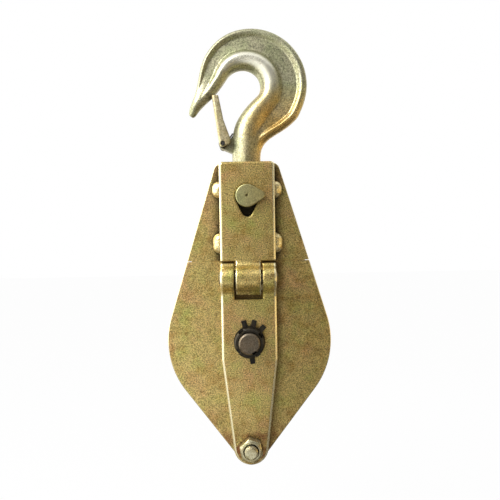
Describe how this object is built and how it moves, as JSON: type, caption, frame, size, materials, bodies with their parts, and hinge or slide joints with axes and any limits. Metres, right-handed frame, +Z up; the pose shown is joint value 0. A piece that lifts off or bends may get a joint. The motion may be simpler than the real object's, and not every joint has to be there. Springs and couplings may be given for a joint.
{
  "type": "snatch block",
  "caption": "Hanging pulley block with a swivelling latched hook, a grooved sheave on a ball bearing, and a side plate that folds down on a knuckle hinge",
  "frame": {"origin": "centre of the hook's bowl, on the load line through the shank, crosshead and axle", "axes": "+Z up along the load line with the block hanging, +Y back away from the opening side plate, +X right as seen from the opening side"},
  "size_m": [0.126, 0.0735, 0.342],
  "materials": {
    "forged_hook": "forged steel under a thin pale yellow chromate, fine grain",
    "plated_steel": "zinc with yellow chromate, olive and gold with faint rainbow patches",
    "weld_metal": "rippled weld bead under yellow chromate",
    "plated_fasteners": "zinc with yellow chromate",
    "pressed_latch": "pressed sheet, zinc with yellow chromate",
    "spring_steel": "oil blackened spring steel",
    "axle_steel": "turned steel, dull brown grey",
    "blackened_steel": "black oxide, oiled",
    "bearing_steel": "ground bearing steel",
    "sheave_steel": "turned steel wheel under yellow chromate"
  },
  "bodies": {
    "hook": {"hook": "forged_hook", "hook_nut": "plated_fasteners", "hook_thrust_washer": "plated_fasteners", "hook_cotter_pin": "plated_fasteners", "latch_pin": "plated_fasteners"},
    "latch": {"latch": "pressed_latch", "latch_spring": "spring_steel"},
    "crosshead": {"crosshead": "plated_steel", "crosshead_washer": "plated_fasteners", "crosshead_ring": "spring_steel"},
    "frame": {"rear_strap": "plated_steel", "rear_cheek": "plated_steel", "rear_welds": "weld_metal", "lower_strap": "plated_steel", "lower_cheek": "plated_steel", "hinge_pin": "plated_fasteners", "axle": "axle_steel", "axle_nut": "blackened_steel", "axle_tab_washer": "blackened_steel", "axle_spacer_front": "axle_steel", "axle_spacer_rear": "axle_steel", "bearing_inner_ring": "bearing_steel", "bottom_bolt": "plated_fasteners", "bottom_nut": "plated_fasteners", "bottom_spacer": "plated_steel"},
    "flap": {"flap_strap": "plated_steel", "flap_cheek": "plated_steel", "flap_welds": "weld_metal"},
    "sheave": {"sheave": "sheave_steel", "bearing_outer_ring": "bearing_steel", "bearing_snap_ring": "spring_steel", "bearing_shield_front": "bearing_steel", "bearing_shield_rear": "bearing_steel"},
    "ball_cage": {"bearing_cage": "bearing_steel", "bearing_balls": "bearing_steel"}
  },
  "joints": [
    {"name": "latch_pivot", "type": "hinge", "parent": "hook", "child": "latch", "pos_m": [-0.0186, 0, -0.0462], "axis": [0, 1, 0], "range_deg": [0, 40], "stiffness_Nm_per_rad": 0.05, "springref_deg": -34.38, "deforming": ["latch_spring"]},
    {"name": "hook_swivel", "type": "hinge", "parent": "hook", "child": "crosshead", "pos_m": [0, 0, -0.09], "axis": [0, 0, 1], "continuous": true},
    {"name": "hook_tilt", "type": "hinge", "parent": "crosshead", "child": "frame", "pos_m": [0, 0, -0.09], "axis": [0, -1, 0], "range_deg": [-90, 90]},
    {"name": "flap_hinge", "type": "hinge", "parent": "frame", "child": "flap", "pos_m": [0, -0.028, -0.1525], "axis": [1, 0, 0], "range_deg": [0, 120]},
    {"name": "sheave_spin", "type": "hinge", "parent": "frame", "child": "sheave", "pos_m": [0, 0, -0.2005], "axis": [0, 1, 0], "continuous": true},
    {"name": "cage_spin", "type": "hinge", "parent": "frame", "child": "ball_cage", "pos_m": [0, 0, -0.2005], "axis": [0, 1, 0], "continuous": true}
  ],
  "couplings": [
    {"joint": "cage_spin", "follows": "sheave_spin", "ratio": 0.618}
  ]
}
